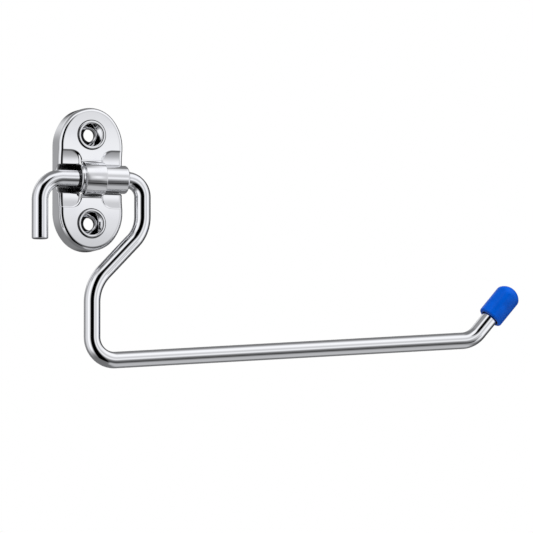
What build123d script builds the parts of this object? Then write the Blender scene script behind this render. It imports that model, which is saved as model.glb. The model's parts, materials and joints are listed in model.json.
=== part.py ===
from build123d import *
from math import atan2, cos, degrees, radians, sin, sqrt, tan
import os

# Swivelling wall hook, in millimetres. The plate lies against the wall at Y = 0 and faces -Y.
# X runs along the hook's arm and Z is up. The origin is the point of the wall behind the
# middle of the barrel, halfway between the two screw holes.

# Wall plate, pressed from one sheet
sheet = 1.0
plate_width = 24.5
plate_height = 52.0
plate_depth = 8.0
end_rise = 14.1
crown_setback = 1.05
edge_radius = 1.5

# Recesses in the plate, left and right of the strap
recess_depth = 1.9
recess_height = 21.8
recess_slope = 40
shoulder_width = 15.4
shoulder_radius = 5.0
crease_radius = 0.6
foot_radius = 2.5
lip_radius = 0.8

# Screw holes, each a formed countersink with a raised bead round its mouth
hole_spacing = 32.2
hole_diameter = 4.6
countersink_diameter = 8.0
countersink_depth = 3.6
dimple_depth = 5.0
dimple_wall = 0.8
bead_width = 1.35
bead_height = 0.4
bead_steps = 6

# Strap, a loop of the same sheet that holds the sleeve
strap_width = 7.8
strap_bend = 0.8
neck_overlap = 2.0

# Hook wire, one round bar bent in a plane parallel to the wall
wire_diameter = 6.0
barrel_proud = 0.9
stub_reach = 20.1
stub_length = 22.4
stub_bend = 8.2
side_bend = 6.1
side_length = 18.4
jog_drop = 20.0
jog_upper_bend = 12.8
jog_lower_bend = 16.0
lower_offset = 0.1
lower_length = 27.9
corner_bend = 8.2
arm_length = 146.8
arm_rise = 4.6
tip_bend = 9.0
tip_angle = 49.7
tip_length = 24.9

# Sleeve, the tube that the wire turns in
sleeve_wall = 2.05
sleeve_left = 5.5
sleeve_right = 12.9
sleeve_end_chamfer = 0.5

# Moulded cap on the tip
cap_diameter = 9.4
cap_length = 14.0
cap_dome_height = 3.5
cap_shoulder_radius = 2.2
cap_end_wall = 2.2
cap_mouth_chamfer = 0.4

# Clearances
turning_clearance = 0.05
strap_clearance = 0.05
strap_slit = 0.3
channel_clearance = 0.4
bend_clearance = 0.2
cap_clearance = 0.02
cap_end_gap = 0.3

# Worked out from the sizes above
wire_radius = wire_diameter / 2
barrel_depth = plate_depth + barrel_proud
sleeve_bore = wire_radius + turning_clearance
sleeve_radius = sleeve_bore + sleeve_wall
strap_inner = sleeve_radius + strap_clearance
strap_outer = strap_inner + sheet
crown_radius = plate_width / 2 - crown_setback
crown_rise = end_rise - crown_radius
half_straight = plate_height / 2 - end_rise
leg_bend = min(strap_bend, 0.95 * barrel_proud)
channel_radius = sleeve_radius + channel_clearance
side_reach = sleeve_right + bend_clearance + side_bend
recess_floor = plate_depth - recess_depth
past_edge = plate_width


def plate_outline(inset):
    # Straight sides. Each end is a crown arc between two flank arcs, all of them tangent
    half_width = plate_width / 2 - inset
    crown = crown_radius - inset
    flank = (half_width**2 + crown_rise**2 - crown**2) / (2 * crown_setback)
    flank_centre = flank - half_width
    turn = degrees(atan2(crown_rise, flank_centre))
    upper = Curve() + [
        Line((half_width, 0), (half_width, half_straight)),
        CenterArc((-flank_centre, half_straight), flank, 0, turn),
        CenterArc((0, half_straight + crown_rise), crown, turn, 180 - 2 * turn),
        CenterArc((flank_centre, half_straight), flank, 180 - turn, turn),
        Line((-half_width, half_straight), (-half_width, 0)),
    ]
    return make_face(upper + mirror(upper, Plane.XZ))


def pan(depth, inset):
    # A dish of the plate's outline with a rounded front edge
    block = extrude(Plane.XZ * plate_outline(inset), amount=depth - inset)
    front = block.edges().group_by(Axis.Y)[0]
    return fillet(front, edge_radius - inset)


def recess_planform():
    # The right-hand recess at the level of the face, wider beyond the necks' shoulders
    top = recess_height / 2
    neck_end = strap_outer + strap_bend
    corners = [
        (past_edge, top),
        (shoulder_width / 2, top),
        (strap_width / 2, neck_end),
        (strap_width / 2, -neck_end),
        (shoulder_width / 2, -top),
        (past_edge, -top),
    ]
    planform = make_face(Polyline(*corners, close=True))
    beside_neck = planform.vertices().group_by(Axis.X)[:-1]
    return fillet([vertex for group in beside_neck for vertex in group], shoulder_radius)


def recess_cutter(inset):
    # Both recesses. The walls slope on below the recess floor, past the rounding of the lower
    # dish's edge, and are spread apart so that the sheet keeps its thickness
    planform = recess_planform()
    if inset:
        planform = offset(planform, amount=inset * tan(radians(recess_slope / 2)))
    face = Plane(origin=(0, inset - plate_depth, 0), x_dir=(1, 0, 0), z_dir=(0, 1, 0))
    wall_depth = recess_depth + edge_radius - inset
    right = extrude(face * planform, amount=wall_depth, taper=recess_slope)
    right += extrude(face * planform, amount=-sheet)
    return right + mirror(right, Plane.YZ)


def pressed_form(inset):
    # The dish, with the recesses pressed in as far as a lower dish of the same outline
    return pan(plate_depth, inset) - (recess_cutter(inset) - pan(recess_floor, inset))


def level_edges(shape, depth):
    # Edges of the shape that lie at this distance from the wall, beside the strap
    found = []
    for edge in shape.edges():
        box = edge.bounding_box()
        is_level = abs(box.min.Y + depth) < 0.001 and abs(box.max.Y + depth) < 0.001
        if is_level and abs(edge.center().Z) < recess_height / 2:
            found.append(edge)
    return found


def outer_form():
    # The pressed form with a soft crease at the top and at the foot of each recess wall
    form = pressed_form(0)
    form = fillet(level_edges(form, plate_depth), crease_radius)
    flat_half = plate_width / 2 - edge_radius
    foot = [edge for edge in level_edges(form, recess_floor) if abs(edge.center().X) < flat_half]
    return fillet(foot, foot_radius)


def barrel_channel(inset):
    # The trough that the sleeve and the wire lie in, pressed right across the plate
    across = Cylinder(channel_radius + inset, 2 * past_edge, rotation=(0, 90, 0))
    return Pos(0, -barrel_depth, 0) * across


def strap_window():
    # The opening that the strap's own metal leaves behind it, slit free on both sides
    opening = Box(
        strap_width + 2 * strap_slit,
        2 * plate_depth,
        2 * (strap_outer + leg_bend),
    )
    return Pos(0, -plate_depth, 0) * opening


def strap_loop():
    # Section across the barrel: a hoop round the front of the sleeve, and legs that turn
    # outwards into the two necks
    neck_back = plate_depth - sheet
    leg = barrel_depth - neck_back
    neck_half = strap_outer + strap_bend + neck_overlap
    hoop = Pos(-barrel_depth, 0) * Circle(strap_outer)
    legs = Pos(leg / 2 - barrel_depth, 0) * Rectangle(leg, 2 * strap_outer)
    necks = Pos(sheet / 2 - plate_depth, 0) * Rectangle(sheet, 2 * neck_half)
    seat = Pos(-barrel_depth, 0) * Circle(strap_inner)
    way_in = Pos(-barrel_depth / 2, 0) * Rectangle(barrel_depth, 2 * strap_inner)
    behind = Pos(-neck_back / 2, 0) * Rectangle(neck_back, 4 * strap_outer)
    section = hoop + legs + necks - seat - way_in - behind
    for y, z, radius in (
        (-plate_depth, strap_outer, leg_bend),
        (-neck_back, strap_inner, leg_bend + sheet),
    ):
        corners = [
            vertex
            for vertex in section.vertices()
            if abs(vertex.X - y) < 0.001 and abs(abs(vertex.Y) - z) < 0.001
        ]
        section = fillet(corners, radius)
    return extrude(Plane.YZ * section, amount=strap_width / 2, both=True)


def screw_dimple():
    # Half section about the hole's axis, with depth counted from the face towards the wall
    hole = hole_diameter / 2
    mouth = countersink_diameter / 2
    bead = mouth + bead_width
    bead_crest = []
    for step in range(1, bead_steps):
        turn = radians(180 * step / bead_steps)
        along = mouth + bead_width * (1 + cos(turn)) / 2
        bead_crest.append((along, -bead_height * sin(turn)))
    section = Polyline(
        (mouth, 0),
        (hole, countersink_depth),
        (hole, dimple_depth),
        (hole + dimple_wall, dimple_depth),
        (hole + dimple_wall, countersink_depth),
        (bead, sheet),
        (bead, 0),
        *bead_crest,
        close=True,
    )
    return revolve(make_face(section), Axis.Y)


def wall_plate():
    outside = outer_form() - barrel_channel(0)
    lip_half = sqrt(channel_radius**2 - (barrel_depth - recess_floor) ** 2)
    lips = [
        edge
        for edge in level_edges(outside, recess_floor)
        if abs(abs(edge.center().Z) - lip_half) < 0.001
    ]
    outside = fillet(lips, min(lip_radius, 0.9 * sheet)) - strap_window()
    plate = outside - (pressed_form(sheet) - barrel_channel(sheet))
    plate += strap_loop()
    punch = Cylinder(countersink_diameter / 2 + bead_width, 4 * sheet, rotation=(90, 0, 0))
    for side in (-1, 1):
        place = Pos(0, -plate_depth, side * hole_spacing / 2)
        plate -= place * punch
        plate += place * screw_dimple()
    return plate


def pivot_sleeve():
    length = sleeve_left + sleeve_right
    tube = Cylinder(sleeve_radius, length)
    tube = chamfer(tube.edges().filter_by(GeomType.CIRCLE), sleeve_end_chamfer)
    tube -= Cylinder(sleeve_bore, length)
    middle = (sleeve_right - sleeve_left) / 2
    return Pos(middle, -barrel_depth, 0) * Rot(0, 90, 0) * tube


def tip_corner():
    # Where the arm's centre line meets the tip's
    x = arm_length - lower_offset
    z = arm_length * tan(radians(arm_rise)) - side_length - jog_drop - lower_length
    return Vector(x, -barrel_depth, z)


def tip_direction():
    return Vector(cos(radians(tip_angle)), 0, sin(radians(tip_angle)))


def hook_wire():
    # Corners of the centre line, from the stub's end to the wire's end inside the cap
    corner = tip_corner()
    jog_end = -side_length - jog_drop
    points = [
        (-stub_reach, -barrel_depth, -stub_length),
        (-stub_reach, -barrel_depth, 0),
        (side_reach, -barrel_depth, 0),
        (side_reach, -barrel_depth, -side_length),
        (-lower_offset, -barrel_depth, jog_end),
        (-lower_offset, -barrel_depth, jog_end - lower_length),
        corner,
        corner + tip_direction() * (tip_length - cap_end_wall - cap_end_gap),
    ]
    bends = (stub_bend, side_bend, jog_upper_bend, jog_lower_bend, corner_bend, tip_bend)
    path = FilletPolyline(*points, radius=bends)
    start = Plane(origin=path @ 0, z_dir=path % 0)
    return sweep(start * Circle(wire_radius), path=path)


def end_cap():
    # Half section about the tip's axis: blind bore, straight side, rounded shoulder and a
    # flatter crown
    radius = cap_diameter / 2
    bore = wire_radius + cap_clearance
    bore_end = cap_length - cap_end_wall
    shoulder_x = radius - cap_shoulder_radius
    shoulder_z = cap_length - cap_dome_height
    crown = shoulder_x**2 + cap_dome_height**2 - cap_shoulder_radius**2
    crown /= 2 * (cap_dome_height - cap_shoulder_radius)
    turn = degrees(atan2(crown - cap_dome_height, shoulder_x))
    side = Polyline(
        (0, cap_length),
        (0, bore_end),
        (bore, bore_end),
        (bore, cap_mouth_chamfer),
        (bore + cap_mouth_chamfer, 0),
        (radius - cap_mouth_chamfer, 0),
        (radius, cap_mouth_chamfer),
        (radius, shoulder_z),
    )
    shoulder = CenterArc((shoulder_x, shoulder_z), cap_shoulder_radius, 0, turn)
    top = CenterArc((0, cap_length - crown), crown, turn, 90 - turn)
    cap = revolve(Plane.XZ * make_face(side + shoulder + top), Axis.Z)
    mouth = tip_corner() + tip_direction() * (tip_length - cap_length)
    return Plane(origin=mouth, z_dir=tip_direction()) * cap


os.makedirs("parts", exist_ok=True)
for make in (wall_plate, pivot_sleeve, hook_wire, end_cap):
    export_step(make(), f"parts/{make.__name__}.step")
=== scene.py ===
import json
import math

import bmesh
import bpy
from mathutils import Matrix, Vector


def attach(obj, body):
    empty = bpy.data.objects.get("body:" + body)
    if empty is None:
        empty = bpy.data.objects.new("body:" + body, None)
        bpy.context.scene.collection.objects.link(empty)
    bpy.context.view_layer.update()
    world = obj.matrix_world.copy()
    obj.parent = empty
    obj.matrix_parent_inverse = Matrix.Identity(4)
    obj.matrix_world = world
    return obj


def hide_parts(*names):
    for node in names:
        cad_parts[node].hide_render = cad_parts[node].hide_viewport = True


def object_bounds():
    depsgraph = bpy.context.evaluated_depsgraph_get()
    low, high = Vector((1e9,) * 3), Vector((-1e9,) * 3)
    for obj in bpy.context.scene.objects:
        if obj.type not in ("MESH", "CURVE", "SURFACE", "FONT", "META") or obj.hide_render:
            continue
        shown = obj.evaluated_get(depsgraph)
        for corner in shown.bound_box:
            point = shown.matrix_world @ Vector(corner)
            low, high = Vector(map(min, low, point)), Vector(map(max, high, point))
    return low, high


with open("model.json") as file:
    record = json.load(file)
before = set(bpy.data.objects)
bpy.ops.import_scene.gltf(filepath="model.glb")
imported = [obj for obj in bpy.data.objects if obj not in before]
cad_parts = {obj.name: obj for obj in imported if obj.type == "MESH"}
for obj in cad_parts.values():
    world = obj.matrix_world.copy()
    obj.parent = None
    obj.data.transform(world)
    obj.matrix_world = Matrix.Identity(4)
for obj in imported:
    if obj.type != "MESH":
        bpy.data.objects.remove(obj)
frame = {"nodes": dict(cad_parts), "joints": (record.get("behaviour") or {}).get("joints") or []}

cadLow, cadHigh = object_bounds()
mm = 0.001
barrelAxis = Vector(frame["joints"][0]["pos_m"])  # the line that the hook swings about, along X
print("frame loaded:", ", ".join(sorted(frame["nodes"])))


# Small helpers for node trees

def addNode(tree, kind, inputs=None, **settings):
    node = tree.nodes.new(kind)
    for name, value in settings.items():
        setattr(node, name, value)
    for name, value in (inputs or {}).items():
        if isinstance(value, bpy.types.NodeSocket):
            tree.links.new(value, node.inputs[name])
        else:
            node.inputs[name].default_value = value
    return node


def mathNode(tree, operation, *values):
    inputs = dict(enumerate(values))
    return addNode(tree, "ShaderNodeMath", inputs, operation=operation).outputs[0]


def rangeNode(tree, value, fromLow, fromHigh, toLow, toHigh):
    inputs = {
        "Value": value,
        "From Min": fromLow, "From Max": fromHigh,
        "To Min": toLow, "To Max": toHigh,
    }
    ranged = addNode(tree, "ShaderNodeMapRange", inputs, interpolation_type="SMOOTHSTEP")
    return ranged.outputs["Result"]


def softStep(tree, value, ends):
    # 0 up to the first end and 1 past the second, which may be the lower one
    return rangeNode(tree, value, *ends, 0.0, 1.0)


def noiseNode(tree, vector, scale, detail):
    inputs = {"Vector": vector, "Scale": scale, "Detail": detail}
    return addNode(tree, "ShaderNodeTexNoise", inputs).outputs["Fac"]


def mixColour(tree, factor, first, second):
    # by number, because the mix node has sockets of one name for each kind of value
    mix = addNode(tree, "ShaderNodeMix", {0: factor, 6: first, 7: second}, data_type="RGBA")
    return mix.outputs[2]


def startGroup(name, inputs, outputs):
    group = bpy.data.node_groups.new(name, "ShaderNodeTree")
    for socket, kind in inputs.items():
        group.interface.new_socket(socket, in_out="INPUT", socket_type=kind)
    for socket, kind in outputs.items():
        group.interface.new_socket(socket, in_out="OUTPUT", socket_type=kind)
    given = group.nodes.new("NodeGroupInput").outputs
    out = group.nodes.new("NodeGroupOutput").inputs
    return group, given, out


def placeGroup(tree, group, inputs):
    return addNode(tree, "ShaderNodeGroup", inputs, node_tree=group).outputs


def startMaterial(name):
    material = bpy.data.materials.new(name)
    material.use_nodes = True
    tree = material.node_tree
    return material, tree, tree.nodes["Principled BSDF"]


def directionFrom(azimuth, elevation):
    # Degrees, with azimuth 0 straight in front of the plate and positive to the right
    azimuth, elevation = math.radians(azimuth), math.radians(elevation)
    return Vector((
        math.sin(azimuth) * math.cos(elevation),
        -math.cos(azimuth) * math.cos(elevation),
        math.sin(elevation),
    ))


# Camera: far away with a long lens, so that parallel edges stay parallel as in the photograph

cameraView = {
    "azimuth": -20.0,       # degrees, left of straight on
    "elevation": -5.0,      # degrees, a little from below
    "distance": 6.0,        # metres
    "imageSize": 533,       # pixels
    "pixelsPerMm": 2.758,
    "originPixel": (84.3, 181.0),  # where the wall point behind the barrel lies in the picture
    "sensor": 36.0,         # mm
}


def makeCamera(look):
    back = directionFrom(look["azimuth"], look["elevation"])
    azimuth = math.radians(look["azimuth"])
    right = Vector((math.cos(azimuth), math.sin(azimuth), 0))
    up = back.cross(right)
    metresPerPixel = mm / look["pixelsPerMm"]
    middle = look["imageSize"] / 2
    across = (middle - look["originPixel"][0]) * metresPerPixel
    down = (middle - look["originPixel"][1]) * metresPerPixel
    data = bpy.data.cameras.new("photoCamera")
    data.sensor_width = look["sensor"]
    data.lens = look["sensor"] * look["distance"] / (look["imageSize"] * metresPerPixel)
    data.clip_end = 4 * look["distance"]
    camera = bpy.data.objects.new("photoCamera", data)
    bpy.context.scene.collection.objects.link(camera)
    camera.matrix_world = Matrix((right, up, back)).transposed().to_4x4()
    camera.location = right * across - up * down + back * look["distance"]
    bpy.context.scene.camera = camera


makeCamera(cameraView)
print("camera placed")


# Studio: soft white panels round the object and a dark flag at the camera. Chrome shows them
# as its light and dark bands. Angles are in degrees and lengths in metres.

studio = {
    "room": 0.25,                # light level between the panels
    "tint": (0.975, 0.98, 1.0, 1),
    "backdrop": (1, 1, 1, 1),    # what the camera sees behind the object
    # name: azimuth, elevation, half width, half height, softness, light level.
    # A panel covers those above it
    "panels": {
        "lowRoom": (180, -62, 180, 30, 14, 0.2),
        "leftWall": (-84, 5, 40, 44, 18, 0.85),
        "leftSoftbox": (-66, 5, 14, 40, 10, 1.22),
        "ceiling": (28, 48, 78, 24, 12, 1.2),
        "rightSoftbox": (60, -2, 24, 34, 16, 1.18),
        "rightDark": (119, 0, 20, 36, 12, 0.06),
        "backDark": (157, 8, 14, 22, 8, 0.06),
        "backGlow": (-163, 28, 20, 14, 10, 0.9),
        "backLeft": (-161, 3, 11, 12, 8, 0.42),
        "frontFill": (24, 14, 20, 22, 12, 0.76),
        "frontFloor": (22, -31, 32, 10, 8, 0.15),
        "lowFloor": (70, -64, 60, 14, 8, 0.6),
        "tableEdge": (22, -34, 34, 3, 2.5, 0.0),
        "tableLine": (22, -19, 34, 1.2, 1.6, 0.03),
        "faceGlow": (20, 6, 6, 7, 6, 1.12),
        "cameraFlag": (-16, -7, 24, 47, 5, 0.0),
    },
    "lampSpread": 0.6,
    "lampReach": 1.2,
    # name: azimuth, elevation, watts
    "lamps": {
        "keyLamp": (10, 62, 22.0),
        "sideLamp": (-60, 20, 1.0),
    },
    "floorDrop": 0.6,
    "floorSize": 14.0,
    "floorColour": (0.9, 0.9, 0.9, 1),
    "floorShade": (0.86, 0.86, 0.87, 1),
    "floorClouds": 1.5,          # clouds of shade per metre
    "floorRoughness": 0.9,
    "floorLift": 0.22,           # a glow that keeps the floor pale
}


def softPanelGroup():
    angles = (
        "Azimuth", "Elevation", "Panel Azimuth", "Panel Elevation",
        "Half Width", "Half Height", "Softness",
    )
    group, given, out = startGroup(
        "softPanel",
        {name: "NodeSocketFloat" for name in angles},
        {"Mask": "NodeSocketFloat"},
    )
    masks = []
    for angle, centre, half in (
        ("Azimuth", "Panel Azimuth", "Half Width"),
        ("Elevation", "Panel Elevation", "Half Height"),
    ):
        offset = mathNode(group, "SUBTRACT", given[angle], given[centre])
        offset = mathNode(group, "ABSOLUTE", mathNode(group, "WRAP", offset, 180.0, -180.0))
        outer = mathNode(group, "ADD", given[half], given["Softness"])
        inner = mathNode(group, "SUBTRACT", given[half], given["Softness"])
        masks.append(softStep(group, offset, (outer, inner)))
    group.links.new(mathNode(group, "MULTIPLY", *masks), out["Mask"])
    return group


def makeWorld(look):
    world = bpy.data.worlds.new("studio")
    bpy.context.scene.world = world
    world.use_nodes = True
    tree = world.node_tree
    tree.nodes.clear()
    direction = addNode(tree, "ShaderNodeTexCoord").outputs["Generated"]
    parts = addNode(tree, "ShaderNodeSeparateXYZ", {"Vector": direction}).outputs
    front = mathNode(tree, "MULTIPLY", parts["Y"], -1.0)
    azimuth = mathNode(tree, "DEGREES", mathNode(tree, "ARCTAN2", parts["X"], front))
    elevation = mathNode(tree, "DEGREES", mathNode(tree, "ARCSINE", parts["Z"]))
    softPanel = softPanelGroup()
    light = look["room"]
    for aside, above, halfWidth, halfHeight, softness, level in look["panels"].values():
        mask = placeGroup(tree, softPanel, {
            "Azimuth": azimuth,
            "Elevation": elevation,
            "Panel Azimuth": aside,
            "Panel Elevation": above,
            "Half Width": halfWidth,
            "Half Height": halfHeight,
            "Softness": softness,
        })["Mask"]
        change = mathNode(tree, "SUBTRACT", level, light)
        light = mathNode(tree, "MULTIPLY_ADD", mask, change, light)
    panels = addNode(tree, "ShaderNodeBackground", {"Color": look["tint"], "Strength": light})
    white = addNode(tree, "ShaderNodeBackground", {"Color": look["backdrop"], "Strength": 1.0})
    seen = addNode(tree, "ShaderNodeLightPath").outputs["Is Camera Ray"]
    shades = {0: seen, 1: panels.outputs[0], 2: white.outputs[0]}
    both = addNode(tree, "ShaderNodeMixShader", shades).outputs[0]
    addNode(tree, "ShaderNodeOutputWorld", {"Surface": both})
    bpy.context.scene.view_settings.view_transform = "Standard"


def makeLamps(look):
    target = (cadLow + cadHigh) / 2
    for name, (azimuth, elevation, watts) in look["lamps"].items():
        data = bpy.data.lights.new(name, "AREA")
        data.energy = watts
        data.size = look["lampSpread"]
        lamp = bpy.data.objects.new(name, data)
        bpy.context.scene.collection.objects.link(lamp)
        away = directionFrom(azimuth, elevation)
        lamp.location = target + away * look["lampReach"]
        lamp.rotation_euler = away.to_track_quat("Z", "Y").to_euler()
        lamp.visible_glossy = False  # the chrome shows the soft panels instead


def makeFloor(look):
    half, drop = look["floorSize"] / 2, look["floorDrop"]
    corners = [
        (-half, -half, -drop), (half, -half, -drop),
        (half, half, -drop), (-half, half, -drop),
    ]
    mesh = bpy.data.meshes.new("studioFloor")
    mesh.from_pydata(corners, [], [(0, 1, 2, 3)])
    floor = bpy.data.objects.new("studioFloor", mesh)
    bpy.context.scene.collection.objects.link(floor)
    floor.visible_glossy = False
    material, tree, shader = startMaterial("paleFloor")
    spot = addNode(tree, "ShaderNodeTexCoord").outputs["Object"]
    cloud = noiseNode(tree, spot, look["floorClouds"], detail=2.0)
    colour = mixColour(tree, cloud, look["floorColour"], look["floorShade"])
    tree.links.new(colour, shader.inputs["Base Color"])
    shader.inputs["Roughness"].default_value = look["floorRoughness"]
    shader.inputs["Emission Color"].default_value = look["floorColour"]
    shader.inputs["Emission Strength"].default_value = look["floorLift"]
    mesh.materials.append(material)


makeWorld(studio)
makeLamps(studio)
makeFloor(studio)
print("studio lit")


# Effects that the finishes share. Places, sizes and depths are in mm, clear and hazy are
# roughnesses, and a range says between which values of its noise an effect grows

plating = {
    "cloudRange": (0.42, 0.72),
    "speckRange": (0.72, 0.8),
    "speckStrength": 0.6,
}


def platingHazeGroup(look):
    # Bright plating is never even: faint clouds of haze, and a few small dull specks
    group, given, out = startGroup("platingHaze", {
        "Place": "NodeSocketVector",
        "Clear": "NodeSocketFloat",
        "Hazy": "NodeSocketFloat",
        "Cloud Size": "NodeSocketFloat",
        "Speck Size": "NodeSocketFloat",
        "Colour": "NodeSocketColor",
        "Deep Colour": "NodeSocketColor",
    }, {"Roughness": "NodeSocketFloat", "Colour": "NodeSocketColor"})
    cloudScale = mathNode(group, "DIVIDE", 1.0, given["Cloud Size"])
    speckScale = mathNode(group, "DIVIDE", 1.0, given["Speck Size"])
    clouds = noiseNode(group, given["Place"], cloudScale, detail=3.0)
    specks = noiseNode(group, given["Place"], speckScale, detail=1.0)
    haze = softStep(group, clouds, look["cloudRange"])
    specks = rangeNode(group, specks, *look["speckRange"], 0.0, look["speckStrength"])
    dull = mathNode(group, "MAXIMUM", haze, specks)
    spread = mathNode(group, "SUBTRACT", given["Hazy"], given["Clear"])
    roughness = mathNode(group, "MULTIPLY_ADD", dull, spread, given["Clear"])
    group.links.new(roughness, out["Roughness"])
    colour = mixColour(group, dull, given["Colour"], given["Deep Colour"])
    group.links.new(colour, out["Colour"])
    return group


def surfaceRippleGroup():
    # Height in millimetres: long soft waves left by forming, and a fine grain
    group, given, out = startGroup("surfaceRipple", {
        "Place": "NodeSocketVector",
        "Wave Size": "NodeSocketFloat",
        "Wave Depth": "NodeSocketFloat",
        "Grain Size": "NodeSocketFloat",
        "Grain Depth": "NodeSocketFloat",
    }, {"Height": "NodeSocketFloat"})
    heights = []
    for kind, detail in (("Wave", 1.0), ("Grain", 2.0)):
        scale = mathNode(group, "DIVIDE", 1.0, given[f"{kind} Size"])
        noise = noiseNode(group, given["Place"], scale, detail)
        heights.append(mathNode(group, "MULTIPLY", noise, given[f"{kind} Depth"]))
    group.links.new(mathNode(group, "ADD", *heights), out["Height"])
    return group


platingHaze = platingHazeGroup(plating)
surfaceRipple = surfaceRippleGroup()


# Finishes

chromeColours = {
    "bright": (0.80, 0.805, 0.82, 1),
    "hazed": (0.77, 0.775, 0.80, 1),
    "dark": (0.02, 0.02, 0.022, 1),  # painted shade and painted dark reflection, in the plate's recesses and on the sleeve's end faces
}


def placeInMm(tree, attribute=None):
    if attribute:
        return addNode(tree, "ShaderNodeAttribute", attribute_name=attribute).outputs["Vector"]
    spot = addNode(tree, "ShaderNodeTexCoord").outputs["Object"]
    scaled = addNode(tree, "ShaderNodeVectorMath", {0: spot, "Scale": 1 / mm}, operation="SCALE")
    return scaled.outputs["Vector"]


def rippleHeight(tree, place, look):
    return placeGroup(tree, surfaceRipple, {
        "Place": place,
        "Wave Size": look["waveSize"],
        "Wave Depth": look["waveDepth"],
        "Grain Size": look["grainSize"],
        "Grain Depth": look["grainDepth"],
    })["Height"]


def linkBump(tree, shader, height):
    bump = addNode(tree, "ShaderNodeBump", {"Height": height, "Distance": mm, "Strength": 1.0})
    tree.links.new(bump.outputs["Normal"], shader.inputs["Normal"])


def paintedRecessShade(tree, place, look):
    # Painted shade in the trough, the creases round the beads and the holes, and a painted dark
    # reflection at the roots of the strap
    spot = addNode(tree, "ShaderNodeSeparateXYZ", {"Vector": place}).outputs
    across, up = mathNode(tree, "ABSOLUTE", spot["X"]), mathNode(tree, "ABSOLUTE", spot["Z"])

    def soft(value, name):
        return softStep(tree, value, look[name])

    def both(first, second):
        return mathNode(tree, "MULTIPLY", first, second)

    trough = both(soft(spot["Y"], "troughDepths"), soft(up, "troughReach"))
    trough = both(both(trough, soft(across, "troughEnds")), look["troughShade"])
    toHole = mathNode(tree, "SUBTRACT", up, look["holeHeight"])
    squares = mathNode(tree, "ADD", both(across, across), both(toHole, toHole))
    fromHole = mathNode(tree, "SQRT", squares)
    offBead = mathNode(tree, "ABSOLUTE", mathNode(tree, "SUBTRACT", fromHole, look["beadFoot"]))
    foot = both(soft(offBead, "beadCrease"), soft(spot["Y"], "faceDepths"))
    inHole = both(soft(fromHole, "holeReach"), soft(spot["Y"], "holeDepths"))
    # a lens of painted dark reflection across each end of the strap
    share = mathNode(tree, "DIVIDE", across, look["rootWidth"])
    lens = mathNode(tree, "SUBTRACT", 1.0, both(share, share))
    offRoot = mathNode(tree, "ABSOLUTE", mathNode(tree, "SUBTRACT", up, look["rootHeight"]))
    offRoot = mathNode(tree, "MULTIPLY_ADD", lens, -look["rootThickness"], offRoot)
    root = both(soft(offRoot, "rootCrease"), soft(spot["Y"], "rootDepths"))
    mask = mathNode(tree, "MAXIMUM", mathNode(tree, "MAXIMUM", trough, foot), inHole)
    return mathNode(tree, "MAXIMUM", mask, root)


def chromeFinish(name, look, attribute=None):
    material, tree, shader = startMaterial(name)
    place = placeInMm(tree, attribute)
    haze = placeGroup(tree, platingHaze, {
        "Place": place,
        "Clear": look["clear"],
        "Hazy": look["hazy"],
        "Cloud Size": look["cloudSize"],
        "Speck Size": look["speckSize"],
        "Colour": chromeColours["bright"],
        "Deep Colour": chromeColours["hazed"],
    })
    height = rippleHeight(tree, place, look)
    if "crown" in look:
        up = addNode(tree, "ShaderNodeSeparateXYZ", {"Vector": place}).outputs["Z"]
        fall = mathNode(tree, "MULTIPLY", mathNode(tree, "MULTIPLY", up, up), -look["crown"])
        height = mathNode(tree, "ADD", height, fall)
    colour, roughness = haze["Colour"], haze["Roughness"]
    if "paintedEndReach" in look:
        # painted dark reflection on the tube's sawn end faces, which are also made rougher
        along = addNode(tree, "ShaderNodeSeparateXYZ", {"Vector": place}).outputs["Z"]
        along = mathNode(tree, "MULTIPLY_ADD", along, look["drawnStretch"], -look["cutMiddle"])
        endReflection = softStep(tree, mathNode(tree, "ABSOLUTE", along), look["paintedEndReach"])
        colour = mixColour(tree, endReflection, colour, chromeColours["dark"])
        roughness = mathNode(tree, "MULTIPLY_ADD", endReflection, look["cutHaze"], roughness)
    if "recesses" in look:
        # painted shade and painted dark reflection in the trough, the holes and the creases, which
        # are also made rougher
        dull = paintedRecessShade(tree, place, look["recesses"])
        colour = mixColour(tree, dull, colour, chromeColours["dark"])
        roughness = mathNode(tree, "MULTIPLY_ADD", dull, look["recessHaze"], roughness)
    tree.links.new(colour, shader.inputs["Base Color"])
    tree.links.new(roughness, shader.inputs["Roughness"])
    shader.inputs["Metallic"].default_value = 1.0
    linkBump(tree, shader, height)
    return material


# Mesh helpers. Rings of points are joined into a skin, and a ring of one point is a pole

crispAngle = 38    # degrees, edges sharper than this stay crisp
poleRadius = 1e-6  # mm, a smaller ring is a pole


def skinShell(rings, closed):
    points, starts = [], []
    for ring in rings:
        starts.append(len(points))
        points.extend(ring)
    faces = []
    pairs = list(zip(range(len(rings)), range(1, len(rings))))
    if closed:
        pairs.append((len(rings) - 1, 0))
    for a, b in pairs:
        countA, countB = len(rings[a]), len(rings[b])
        for step in range(max(countA, countB)):
            a0, a1 = starts[a] + step % countA, starts[a] + (step + 1) % countA
            b0, b1 = starts[b] + step % countB, starts[b] + (step + 1) % countB
            faces.append(list(dict.fromkeys((a0, a1, b1, b0))))
    return points, faces


def mergedShell(quads):
    # Quads given by their corner points, with shared corners made one point
    points, found, faces = [], {}, []
    for quad in quads:
        corners = []
        for point in quad:
            key = tuple(round(value, 4) + 0.0 for value in point)  # + 0.0 makes -0.0 plain
            if key not in found:
                found[key] = len(points)
                points.append(point)
            corners.append(found[key])
        corners = list(dict.fromkeys(corners))
        if len(corners) > 2:
            faces.append(corners)
    return points, faces


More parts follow.
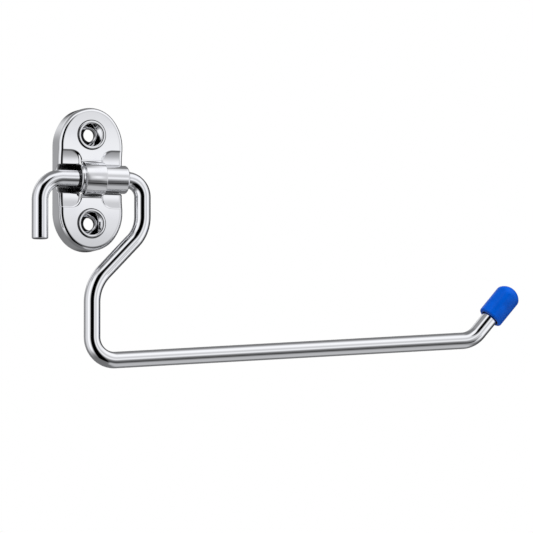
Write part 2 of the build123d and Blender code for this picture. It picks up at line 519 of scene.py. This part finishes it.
def makePiece(name, shells):
    points, faces = [], []
    for shellPoints, shellFaces in shells:
        start = len(points)
        points.extend(tuple(point * mm) for point in shellPoints)
        faces.extend([start + corner for corner in face] for face in shellFaces)
    mesh = bpy.data.meshes.new(name)
    mesh.from_pydata(points, [], faces)
    skin = bmesh.new()
    skin.from_mesh(mesh)
    bmesh.ops.recalc_face_normals(skin, faces=skin.faces)
    skin.to_mesh(mesh)
    skin.free()
    mesh.shade_smooth()
    mesh.set_sharp_from_angle(angle=math.radians(crispAngle))
    piece = bpy.data.objects.new(name, mesh)
    bpy.context.scene.collection.objects.link(piece)
    return piece


def addDrawnPlaces(piece, places):
    # Across and along a round piece, so that its finish follows the bends. Drawn metal has its
    # lengths shortened here, which stretches the pattern into lines
    attribute = piece.data.attributes.new("drawn", "FLOAT_VECTOR", "POINT")
    attribute.data.foreach_set("vector", [value for place in places for value in place])


def arcPoints(centre, radius, startAngle, endAngle, steps):
    # Points of an arc in a half section, angles in degrees
    found = []
    for step in range(steps + 1):
        angle = math.radians(startAngle + (endAngle - startAngle) * step / steps)
        found.append((centre[0] + radius * math.cos(angle), centre[1] + radius * math.sin(angle)))
    return found


def roundRing(middle, side, other, radius, segments):
    # The points of a ring, and where they lie across its middle
    if radius < poleRadius:
        return [middle], [(0.0, 0.0)]
    ring, across = [], []
    for step in range(segments):
        turn = 2 * math.pi * step / segments
        x, y = radius * math.cos(turn), radius * math.sin(turn)
        ring.append(middle + side * x + other * y)
        across.append((x, y))
    return ring, across


def turnedRings(section, origin, axis, segments):
    # A half section of (along, radius) turned about an axis through the origin
    side = axis.orthogonal().normalized()
    other = axis.cross(side)
    rings, places = [], []
    for along, radius in section:
        ring, across = roundRing(origin + axis * along, side, other, radius, segments)
        rings.append(ring)
        places.extend((x, y, along) for x, y in across)
    return rings, places


# Hook wire: one round bar, bent in a plane in front of the wall

hookWire = {
    "diameter": 6.0,
    "stubReach": 20.1, "stubLength": 22.4, "stubBend": 8.2,
    "sideReach": 19.2, "sideBend": 6.1, "sideLength": 18.4,
    "jogDrop": 20.0, "jogUpperBend": 12.8, "jogLowerBend": 16.0,
    "lowerOffset": 0.1, "lowerLength": 27.9, "cornerBend": 8.2,
    "armLength": 146.8, "armRise": 4.6, "tipBend": 9.0,
    "tipAngle": 49.7, "tipLength": 24.9, "endInCap": 2.5,
    "cutRounding": 0.55,  # the sawn end's worn edge
    "cutSteps": 6,
    "cutHold": 0.8,       # a ring at this share of the sawn face keeps it flat
    "segments": 72,
    "arcStep": 2.0,       # degrees between rings in a bend
    "runStep": 4.0,       # mm between rings on a straight run
    "finish": {
        "clear": 0.03, "hazy": 0.08, "cloudSize": 7.0, "speckSize": 0.4,
        "waveSize": 5.0, "waveDepth": 0.008, "grainSize": 0.3, "grainDepth": 0.0005,
        "drawnStretch": 24.0,  # how much longer than wide the drawn lines are
    },
}


def tipCorner(look):
    rise = look["armLength"] * math.tan(math.radians(look["armRise"]))
    down = look["sideLength"] + look["jogDrop"] + look["lowerLength"]
    return Vector((look["armLength"] - look["lowerOffset"], rise - down))


def tipDirection(look):
    angle = math.radians(look["tipAngle"])
    return Vector((math.cos(angle), math.sin(angle)))


def wireLine(look):
    # Points and directions of the centre line in the hook's plane
    jogEnd = -look["sideLength"] - look["jogDrop"]
    corner = tipCorner(look)
    points = [
        Vector((-look["stubReach"], -look["stubLength"])),
        Vector((-look["stubReach"], 0)),
        Vector((look["sideReach"], 0)),
        Vector((look["sideReach"], -look["sideLength"])),
        Vector((-look["lowerOffset"], jogEnd)),
        Vector((-look["lowerOffset"], jogEnd - look["lowerLength"])),
        corner,
        corner + tipDirection(look) * (look["tipLength"] - look["endInCap"]),
    ]
    bends = [look[name] for name in (
        "stubBend", "sideBend", "jogUpperBend", "jogLowerBend", "cornerBend", "tipBend",
    )]
    line = []
    runStart = points[0]
    for index, radius in enumerate(bends, start=1):
        before = (points[index] - points[index - 1]).normalized()
        after = (points[index + 1] - points[index]).normalized()
        turn = math.atan2(before.x * after.y - before.y * after.x, before.dot(after))
        cut = radius * math.tan(abs(turn) / 2)
        runEnd = points[index] - before * cut
        line.extend(runPoints(runStart, runEnd, before, look["runStep"]))
        toLeft = math.copysign(1, turn)
        centre = runEnd + Vector((-before.y, before.x)) * radius * toLeft
        steps = max(2, round(math.degrees(abs(turn)) / look["arcStep"]))
        for step in range(1, steps):
            spin = Matrix.Rotation(turn * step / steps, 2)
            line.append((centre + spin @ (runEnd - centre), spin @ before))
        runStart = points[index] + after * cut
    line.extend(runPoints(runStart, points[-1], after, look["runStep"]))
    return line


def runPoints(start, end, direction, step):
    # A straight run of the centre line, with both its ends
    count = max(1, round((end - start).length / step))
    return [(start.lerp(end, place / count), direction) for place in range(count + 1)]


def makeHookWire(look):
    radius, rounding = look["diameter"] / 2, look["cutRounding"]
    flat = radius - rounding
    line = wireLine(look)
    start, startDirection = line[0]
    # the sawn end with its worn edge, then the bar to its end in the cap
    sawn = [(0.0, 0.0), (0.0, look["cutHold"] * flat)]
    sawn += arcPoints((rounding, flat), rounding, 180, 90, look["cutSteps"])
    stations = [(start + startDirection * along, startDirection, size) for along, size in sawn]
    stations += [(point, direction, radius) for point, direction in line[1:]]
    stations.append((*line[-1], 0.0))
    rings, places = [], []
    along = 0.0
    previous = start
    for point, direction, size in stations:
        along += (point - previous).length
        previous = point
        middle = Vector((point.x, barrelAxis.y / mm, point.y))
        side = Vector((-direction.y, 0, direction.x))
        ring, across = roundRing(middle, side, Vector((0, 1, 0)), size, look["segments"])
        rings.append(ring)
        shortened = along / look["finish"]["drawnStretch"]
        places.extend((x, y, shortened) for x, y in across)
    piece = makePiece("bentWire", [skinShell(rings, closed=False)])
    addDrawnPlaces(piece, places)
    piece.data.materials.append(chromeFinish("chromeWire", look["finish"], "drawn"))
    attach(piece, "hook")
    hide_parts("hook_wire")


makeHookWire(hookWire)
print("hook wire bent")


# Pivot sleeve: the tube that the strap holds, with tumbled ends

pivotSleeve = {
    "radius": 5.1, "bore": 3.05,
    "left": 5.5, "right": 12.9,  # from the middle of the plate
    "outerRounding": 0.75, "outerSteps": 8,
    "boreRounding": 0.3, "boreSteps": 4,
    "endHold": 0.1,   # mm from a rounding to the ring that keeps the end flat
    "sideHold": 0.2,  # the same along the tube
    "segments": 96,
    "finish": {
        "clear": 0.03, "hazy": 0.08, "cloudSize": 5.0, "speckSize": 0.4,
        "waveSize": 4.0, "waveDepth": 0.006, "grainSize": 0.3, "grainDepth": 0.0004,
        "drawnStretch": 12.0,
        "cutMiddle": 3.7,        # the middle of the tube
        "paintedEndReach": (9.0, 9.12),  # mm from there, where the painted dark reflection on the end faces begins
        "cutHaze": 0.2,
    },
}


def makePivotSleeve(look):
    outer, bore = look["radius"], look["bore"]
    big, small = look["outerRounding"], look["boreRounding"]
    left, right = -look["left"], look["right"]
    hold = look["sideHold"]
    inner, rim = bore + small + look["endHold"], outer - big - look["endHold"]
    section = arcPoints((left + small, bore + small), small, 270, 180, look["boreSteps"])
    section += [(left, inner), (left, rim)]
    section += arcPoints((left + big, outer - big), big, 180, 90, look["outerSteps"])
    section += [(left + big + hold, outer), ((left + right) / 2, outer)]
    section += [(right - big - hold, outer)]
    section += arcPoints((right - big, outer - big), big, 90, 0, look["outerSteps"])
    section += [(right, rim), (right, inner)]
    section += arcPoints((right - small, bore + small), small, 0, -90, look["boreSteps"])
    section += [(right - small - hold, bore), (left + small + hold, bore)]
    origin = Vector((0, barrelAxis.y / mm, 0))
    rings, places = turnedRings(section, origin, Vector((1, 0, 0)), look["segments"])
    piece = makePiece("pivotTube", [skinShell(rings, closed=True)])
    stretch = look["finish"]["drawnStretch"]
    addDrawnPlaces(piece, [(x, y, along / stretch) for x, y, along in places])
    piece.data.materials.append(chromeFinish("chromeSleeve", look["finish"], "drawn"))
    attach(piece, "bracket")
    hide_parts("pivot_sleeve")


makePivotSleeve(pivotSleeve)
print("pivot sleeve turned")


# End cap: dipped blue vinyl, with a rolled mouth and a soft dome

endCap = {
    "diameter": 9.4, "length": 14.0, "bore": 3.02, "endWall": 2.2,
    "domeHeight": 3.5, "shoulderRadius": 2.2, "shoulderSteps": 20, "crownSteps": 12,
    "mouthRounding": 0.7, "mouthSteps": 7,
    "mouthHold": 0.4,     # mm from the mouth's rounding to the ring that keeps the side straight
    "shoulderHold": 0.3,  # the same at the shoulder
    "segments": 80,
    "finish": {
        "colour": (0.0, 0.064, 0.39, 1),
        "deepColour": (0.0, 0.051, 0.32, 1),
        "cloudSize": 3.5, "grainSize": 0.6, "grainDepth": 0.0003,
        "waveSize": 5.0, "waveDepth": 0.015,
        "noiseRange": (0.3, 0.7),  # where the noise turns from one look to the other
        "roughness": (0.27, 0.31),
        "specular": 0.08,
        # painted shade in the gap where the vinyl turns in to the wire
        "paintedGapShade": (0.0, 0.002, 0.015, 1),
        "gapReach": (3.62, 3.32),  # mm from the axis, from blue to the painted shade
        "gapLength": 7.0,          # mm from the mouth, no painted shade beyond
    },
}


def vinylFinish(name, look):
    material, tree, shader = startMaterial(name)
    place = placeInMm(tree)
    clouds = noiseNode(tree, place, 1 / look["cloudSize"], detail=3.0)
    clouds = softStep(tree, clouds, look["noiseRange"])
    blue = mixColour(tree, clouds, look["colour"], look["deepColour"])
    # painted shade in the gap where the vinyl turns in to the wire
    spot = addNode(tree, "ShaderNodeSeparateXYZ", {"Vector": placeInMm(tree, "drawn")}).outputs
    squares = [mathNode(tree, "MULTIPLY", spot[side], spot[side]) for side in ("X", "Y")]
    radius = mathNode(tree, "SQRT", mathNode(tree, "ADD", *squares))
    inMouth = mathNode(tree, "LESS_THAN", spot["Z"], look["gapLength"])
    gap = mathNode(tree, "MULTIPLY", inMouth, softStep(tree, radius, look["gapReach"]))
    tree.links.new(mixColour(tree, gap, blue, look["paintedGapShade"]), shader.inputs["Base Color"])
    grain = noiseNode(tree, place, 1 / look["grainSize"], detail=2.0)
    roughness = rangeNode(tree, grain, *look["noiseRange"], *look["roughness"])
    tree.links.new(roughness, shader.inputs["Roughness"])
    shader.inputs["Specular IOR Level"].default_value = look["specular"]
    linkBump(tree, shader, rippleHeight(tree, place, look))
    return material


def makeEndCap(look):
    radius, bore, length = look["diameter"] / 2, look["bore"], look["length"]
    rounding, shoulder = look["mouthRounding"], look["shoulderRadius"]
    shoulderX = radius - shoulder
    shoulderZ = length - look["domeHeight"]
    # the crown's radius, and how far the shoulder turns before it meets the crown
    crown = shoulderX**2 + look["domeHeight"]**2 - shoulder**2
    crown /= 2 * (look["domeHeight"] - shoulder)
    turn = math.degrees(math.atan2(crown - look["domeHeight"], shoulderX))
    section = [(length - look["endWall"], 0.0), (length - look["endWall"], bore)]
    section += arcPoints((rounding, bore + rounding), rounding, -90, -180, look["mouthSteps"])
    section += arcPoints((rounding, radius - rounding), rounding, 180, 90, look["mouthSteps"])
    section += [(rounding + look["mouthHold"], radius), (shoulderZ / 2, radius)]
    section += [(shoulderZ - look["shoulderHold"], radius)]
    section += arcPoints((shoulderZ, shoulderX), shoulder, 90, 90 - turn, look["shoulderSteps"])
    section += arcPoints((length - crown, 0.0), crown, 90 - turn, 0, look["crownSteps"])[1:]
    direction = tipDirection(hookWire)
    mouth = tipCorner(hookWire) + direction * (hookWire["tipLength"] - length)
    origin = Vector((mouth.x, barrelAxis.y / mm, mouth.y))
    axis = Vector((direction.x, 0, direction.y))
    rings, places = turnedRings(section, origin, axis, look["segments"])
    piece = makePiece("vinylCap", [skinShell(rings, closed=False)])
    addDrawnPlaces(piece, places)
    piece.data.materials.append(vinylFinish("blueVinyl", look["finish"]))
    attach(piece, "hook")
    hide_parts("end_cap")


makeEndCap(endCap)
print("end cap dipped")


# Wall plate: one pressed sheet. Its face is as deep as the dish, less the scoops beside the
# strap and the trough behind the barrel. The formed screw holes and the strap are shells that
# overlap the sheet

wallPlate = {
    "width": 24.5, "height": 52.0, "depth": 8.0, "sheet": 1.0,
    "endRise": 14.1, "crownSetback": 1.05, "edgeRadius": 1.5,
    "scoopDepth": 0.7, "scoopHeight": 21.8, "scoopRun": 5.6, "scoopCorner": 4.2,
    "creaseBlend": 0.3, "neckStep": 0.8,
    "troughRadius": 5.5, "lipBlend": 0.55,
    "strapWidth": 7.8, "strapSlit": 0.3, "neckEnd": 6.95,
    "strapInner": 5.15, "strapBend": 0.8, "strapEdge": 0.2,
    "holeSpacing": 32.2, "hole": 4.6, "mouth": 8.2, "coneDepth": 3.6, "collarDepth": 5.0,
    "seat": 4.9, "seatDepth": 1.95, "collarWall": 0.8,
    "beadWidth": 1.25, "beadHeight": 0.4, "beadSink": 0.3,
    "beadCover": 0.65,      # share of the bead's width that lies inside the sheet's cut edge
    "faceStep": 0.3,        # mm between points of the face
    "fineStep": 0.13,       # mm between them where the sheet bends
    "lipRows": (3.6, 5.6),  # the heights of the trough's lip, in fine steps
    "creaseMargin": 1.0,    # fine steps start this far inside the scoops' level crease
    "neckMargin": 1.5,      # and they reach this far beside the slits
    "rimSteps": 9, "wallSteps": 4,
    "strapEdgeSteps": 4,
    "strapBendStep": 6,     # degrees between rings at the strap's roots
    "strapLoopStep": 4,     # and round the sleeve
    "dimpleSegments": 96, "beadSteps": 18,
    "coneShares": (0.03, 0.25, 0.5, 0.75, 0.96),  # rings on the way down the cone
    "seatEase": (0.12, 0.03),  # the ring under the seat lies deeper and further in by these
    "collarEase": 0.1,      # the collar's worn edge
    "finish": {
        "clear": 0.025, "hazy": 0.07, "cloudSize": 9.0, "speckSize": 0.5,
        "waveSize": 9.0, "waveDepth": 0.03, "grainSize": 0.35, "grainDepth": 0.0003,
        "crown": 0.0016,  # how fast the face falls away towards the plate's ends
        # each pair of values, in mm, runs from where the metal is bright to where the painted shade
        # is full
        "recesses": {
            "troughDepths": (-6.9, -6.2), "troughReach": (5.4, 4.9),
            "troughEnds": (12.0, 11.4), "troughShade": 0.8,
            "holeHeight": 16.1, "holeReach": (2.75, 2.6), "holeDepths": (-5.2, -4.5),
            "beadFoot": 5.33, "beadCrease": (0.26, 0.1), "faceDepths": (-7.0, -7.4),
            "rootHeight": 6.05, "rootWidth": 3.7, "rootThickness": 0.4,
            "rootCrease": (0.08, -0.04), "rootDepths": (-7.6, -8.2),
        },
        "recessHaze": 0.25,
    },
}


def smoothLeast(first, second, blend):
    near = max(blend - abs(first - second), 0.0) / blend
    return min(first, second) - near * near * blend / 4


def pressedDepth(look, x, z, inset):
    # Distance from the wall. An inset of nothing gives the front skin, the sheet's thickness
    # gives the back one
    x, z = abs(x), abs(z)
    # how far the place lies inside the scoop, with its rounded corner
    inX, inZ = x - look["strapWidth"] / 2, look["scoopHeight"] / 2 - z
    corner = look["scoopCorner"]
    if max(inX, inZ) > corner:
        into = min(inX, inZ, corner)
    else:
        into = corner - math.hypot(corner - inX, corner - inZ)
    # a long soft fall from the scoop's level crease, and a short steep one round its border
    fall = (inZ + math.hypot(inZ, look["creaseBlend"])) / 2
    fall = 1 - (1 - min(fall / look["scoopRun"], 1.0))**2
    step = min(max(into / look["neckStep"], 0.0), 1.0)
    fall *= step * step * (3 - 2 * step)
    depth = look["depth"] - inset - look["scoopDepth"] * fall
    radius = look["troughRadius"] + inset
    if z < radius:
        trough = -barrelAxis.y / mm - math.sqrt(radius**2 - z**2)
        depth = smoothLeast(depth, trough, look["lipBlend"])
    return depth


def spacedFrom(low, high, step):
    # Even places from low on, the last one a step short of high
    count = max(1, round((high - low) / step))
    return [low + (high - low) * place / count for place in range(count)]


def plateRows(look):
    # Points of the right side of the outline with their outward directions, bottom to top
    half = look["width"] / 2
    crown = half - look["crownSetback"]
    rise = look["endRise"] - crown
    straight = look["height"] / 2 - look["endRise"]
    flank = (half**2 + rise**2 - crown**2) / (2 * look["crownSetback"])
    turn = math.atan2(rise, flank - half)
    step, fine, neck = look["faceStep"], look["fineStep"], look["neckEnd"]
    lipLow, lipHigh = look["lipRows"]
    crease = look["scoopHeight"] / 2 - look["creaseMargin"]
    heights = spacedFrom(0, lipLow, step) + spacedFrom(lipLow, lipHigh, fine)
    heights += spacedFrom(lipHigh, neck, step) + spacedFrom(neck, crease, step)
    heights += spacedFrom(crease, straight, fine)
    upper = [(half, z, 1.0, 0.0) for z in heights]
    for centre, radius, low, high in (
        ((half - flank, straight), flank, 0.0, turn),
        ((0.0, straight + rise), crown, turn, math.pi / 2),
    ):
        for angle in spacedFrom(low, high, step / radius):
            outX, outZ = math.cos(angle), math.sin(angle)
            upper.append((centre[0] + radius * outX, centre[1] + radius * outZ, outX, outZ))
    upper.append((0.0, look["height"] / 2, 0.0, 1.0))
    lower = [(x, -z, outX, -outZ) for x, z, outX, outZ in reversed(upper[1:])]
    return lower + upper


def plateColumns(look):
    # Shares of the half width, from the left to the right
    reach = look["width"] / 2 - look["edgeRadius"]
    slit = look["strapWidth"] / 2 + look["strapSlit"]
    beside = slit + look["neckMargin"]
    right = spacedFrom(0, slit, look["faceStep"]) + spacedFrom(slit, beside, look["fineStep"])
    right += spacedFrom(beside, reach, look["faceStep"]) + [reach]
    return [-x / reach for x in reversed(right[1:])] + [x / reach for x in right]


def cellState(look, middle):
    # The window round the strap and the holes under the beads are cut out of the sheet
    slit = look["strapWidth"] / 2 + look["strapSlit"]
    if abs(middle.x) < slit and abs(middle.z) < look["neckEnd"]:
        return "window"
    fromHole = math.hypot(middle.x, abs(middle.z) - look["holeSpacing"] / 2)
    punched = look["mouth"] / 2 + look["beadCover"] * look["beadWidth"]
    return "sheet" if fromHole > punched else "hole"


def sheetQuads(look):
    rows, columns = plateRows(look), plateColumns(look)
    radius = look["edgeRadius"]
    faces, quads = [], []
    for inset in (0.0, look["sheet"]):
        face = []
        for x, z, outX, outZ in rows:
            innerX, innerZ = x - outX * radius, z - outZ * radius
            face.append([
                Vector((share * innerX, -pressedDepth(look, share * innerX, innerZ, inset), innerZ))
                for share in columns
            ])
        faces.append(face)
        for side in (-1, 1):
            quads += gridQuads([rimChain(look, row, side, inset) for row in rows])
    front, back = faces
    cells = {}
    for row in range(len(rows) - 1):
        for column in range(len(columns) - 1):
            middle = (front[row][column] + front[row + 1][column + 1]) / 2
            cells[row, column] = cellState(look, middle)
    for (row, column), state in cells.items():
        corners = ((row, column), (row, column + 1), (row + 1, column + 1), (row + 1, column))
        if state == "sheet":
            quads.append([front[r][c] for r, c in corners])
            quads.append([back[r][c] for r, c in reversed(corners)])
        if state != "window":
            continue
        # the cut edge of the sheet round the window
        for beside, first, second in (
            ((row - 1, column), 0, 1), ((row, column + 1), 1, 2),
            ((row + 1, column), 2, 3), ((row, column - 1), 3, 0),
        ):
            if cells.get(beside) == "sheet":
                (rowA, columnA), (rowB, columnB) = corners[first], corners[second]
                quads.append([
                    front[rowA][columnA], front[rowB][columnB],
                    back[rowB][columnB], back[rowA][columnA],
                ])
    # the rim that lies on the wall
    for side in (-1, 1):
        quads += gridQuads([
            [rimChain(look, row, side, inset)[-1] for inset in (0.0, look["sheet"])]
            for row in rows
        ])
    return quads


def rimChain(look, row, side, inset):
    # From the face over the rounded edge and down the side wall
    x, z, outX, outZ = row
    radius = look["edgeRadius"] - inset
    innerX, innerZ = x - outX * look["edgeRadius"], z - outZ * look["edgeRadius"]
    depth = pressedDepth(look, innerX, innerZ, inset)
    chain = [
        Vector((side * (innerX + outX * out), -fromWall, innerZ + outZ * out))
        for out, fromWall in arcPoints((0.0, depth - radius), radius, 90, 0, look["rimSteps"])
    ]
    foot, steps = chain[-1], look["wallSteps"]
    for step in range(1, steps + 1):
        chain.append(Vector((foot.x, foot.y * (1 - step / steps), foot.z)))
    return chain


def gridQuads(rows):
    return [
        [low[place], low[place + 1], high[place + 1], high[place]]
        for low, high in zip(rows, rows[1:])
        for place in range(len(low) - 1)
    ]


def dimpleShell(look, side):
    # A formed screw hole, turned: its raised bead, the cone for the screw's head, a throat that
    # narrows a little, and the collar behind. Its half section counts depths from the face
    hole, mouth = look["hole"] / 2, look["mouth"] / 2
    wide, tall = look["beadWidth"] / 2, look["beadHeight"]
    seat, seatDepth = look["seat"] / 2, look["seatDepth"]
    collar, cone, depth = hole + look["collarWall"], look["coneDepth"], look["collarDepth"]
    ease = look["collarEase"]
    section = [(look["sheet"], mouth + 2 * wide), (look["beadSink"], mouth + 2 * wide)]
    for step in range(look["beadSteps"] + 1):
        turn = math.pi * step / look["beadSteps"]
        section.append((-tall * math.sin(turn), mouth + wide + wide * math.cos(turn)))
    for share in look["coneShares"]:
        section.append((share * seatDepth, mouth - share * (mouth - seat)))
    section += [(seatDepth + look["seatEase"][0], seat - look["seatEase"][1]), (cone, hole)]
    section += [(depth - ease, hole), (depth, hole + ease), (depth, collar), (cone, collar)]
    origin = Vector((0, -look["depth"], side * look["holeSpacing"] / 2))
    rings = turnedRings(section, origin, Vector((0, 1, 0)), look["dimpleSegments"])[0]
    return skinShell(rings, closed=True)


def strapShell(look):
    # A band of the sheet swept round the sleeve, from neck to neck
    half, thick, edge = look["strapWidth"] / 2, look["sheet"] / 2, look["strapEdge"]
    inX, inOut = half - edge, thick - edge
    outline = []
    for centre, turn in (
        ((inX, inOut), 0), ((-inX, inOut), 90), ((-inX, -inOut), 180), ((inX, -inOut), 270),
    ):
        outline += arcPoints(centre, edge, turn, turn + 90, look["strapEdgeSteps"])
    barrel = -barrelAxis.y / mm
    radius = look["strapInner"] + thick
    bend = look["strapBend"] + thick
    bendZ = radius + bend
    bendY = look["depth"] - thick + bend
    # the middle of the sheet, as distance from the wall and height, with the way out of it
    path = []
    for angle in range(0, 91, look["strapBendStep"]):
        outY, outZ = math.cos(math.radians(angle)), math.sin(math.radians(angle))
        path.append((bendY - bend * outY, bendZ - bend * outZ, outY, outZ))
    for angle in range(0, 91, look["strapLoopStep"]):
        outY, outZ = math.sin(math.radians(angle)), math.cos(math.radians(angle))
        path.append((barrel + radius * outY, radius * outZ, outY, outZ))
    path += [(y, -z, outY, -outZ) for y, z, outY, outZ in reversed(path[:-1])]
    rings = [
        [Vector((x, -y - outY * out, z + outZ * out)) for x, out in outline]
        for y, z, outY, outZ in path
    ]
    ends = [[sum(ring, Vector()) / len(ring)] for ring in (rings[0], rings[-1])]
    return skinShell([ends[0], *rings, ends[1]], closed=False)


def makeWallPlate(look):
    shells = [mergedShell(sheetQuads(look)), strapShell(look)]
    shells += [dimpleShell(look, side) for side in (-1, 1)]
    piece = makePiece("pressedPlate", shells)
    piece.data.materials.append(chromeFinish("chromePlate", look["finish"]))
    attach(piece, "bracket")
    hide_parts("wall_plate")


makeWallPlate(wallPlate)
print("wall plate pressed")
